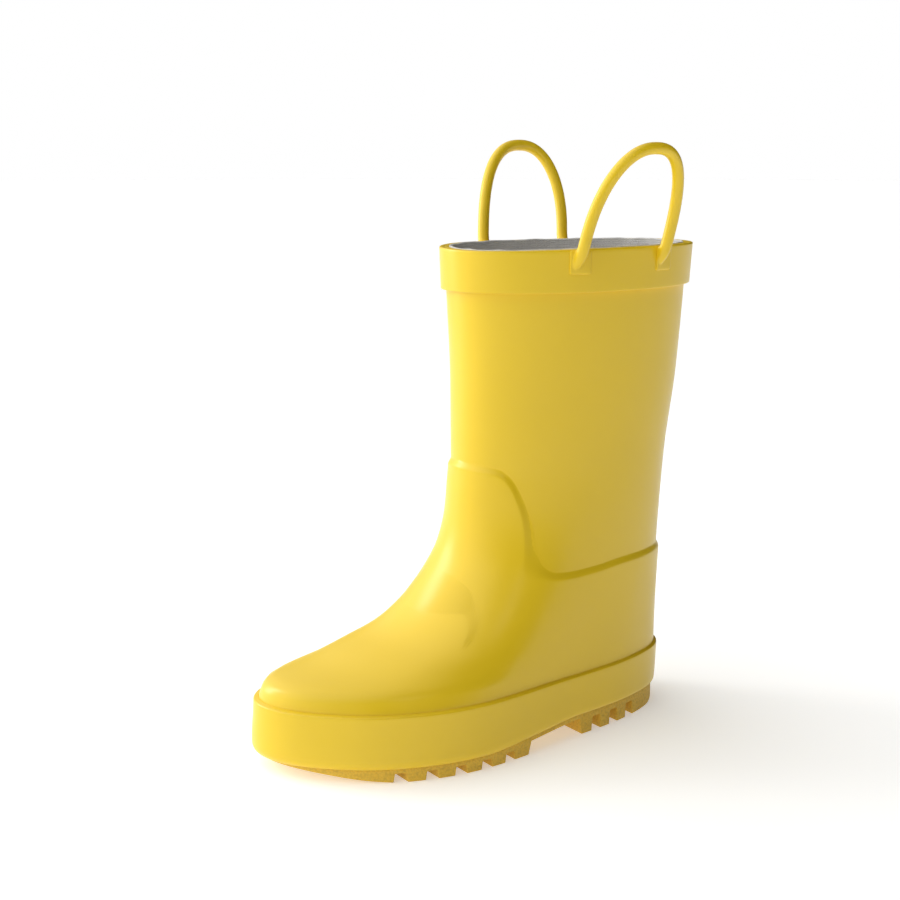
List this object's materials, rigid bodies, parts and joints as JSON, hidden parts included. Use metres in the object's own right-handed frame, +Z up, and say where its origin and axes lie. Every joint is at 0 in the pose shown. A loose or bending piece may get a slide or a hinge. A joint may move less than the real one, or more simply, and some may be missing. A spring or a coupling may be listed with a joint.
{
  "type": "rain boot",
  "caption": "Child's pull-on rubber rain boot with a collar band, two round pull loops, a raised galosh, a foxing band and a lugged sole.",
  "frame": {"origin": "on the floor, under the middle of the boot's box", "axes": "+Z up, toe towards -Y, heel towards +Y, +X towards the boot's outer side"},
  "size_m": [0.101, 0.2062, 0.2454],
  "materials": {
    "upper_rubber": "satin",
    "tread_rubber": "matte, stippled",
    "knit_lining": "cotton knit",
    "stiffener": "rubberised fabric",
    "board": "fibreboard",
    "sponge": "sponge",
    "footbed_foam": "open-cell foam",
    "footbed_cover": "cotton knit"
  },
  "bodies": {
    "root": {"leg_shell": "upper_rubber", "collar_band": "upper_rubber", "galosh": "upper_rubber", "foxing": "upper_rubber", "foxing_bead": "upper_rubber", "outsole": "tread_rubber", "heel_block": "tread_rubber", "outer_front_anchor": "upper_rubber", "outer_rear_anchor": "upper_rubber", "inner_front_anchor": "upper_rubber", "inner_rear_anchor": "upper_rubber", "leg_lining": "knit_lining", "foot_lining": "knit_lining", "toe_puff": "stiffener", "heel_counter": "stiffener", "ankle_reinforcement": "stiffener", "insole_board": "board", "midsole_filler": "sponge", "footbed_foam": "footbed_foam", "footbed_cover": "footbed_cover"},
    "outer_loop": {"outer_handle": "upper_rubber"},
    "inner_loop": {"inner_handle": "upper_rubber"}
  },
  "joints": [
    {"name": "outer_loop_fold", "type": "hinge", "parent": "root", "child": "outer_loop", "pos_m": [0.0378, 0.04335, 0.206], "axis": [0, 1, 0], "range_deg": [-70, 90], "stiffness_Nm_per_rad": 0.05},
    {"name": "inner_loop_fold", "type": "hinge", "parent": "root", "child": "inner_loop", "pos_m": [-0.0378, 0.04685, 0.206], "axis": [0, -1, 0], "range_deg": [-70, 90], "stiffness_Nm_per_rad": 0.05}
  ]
}
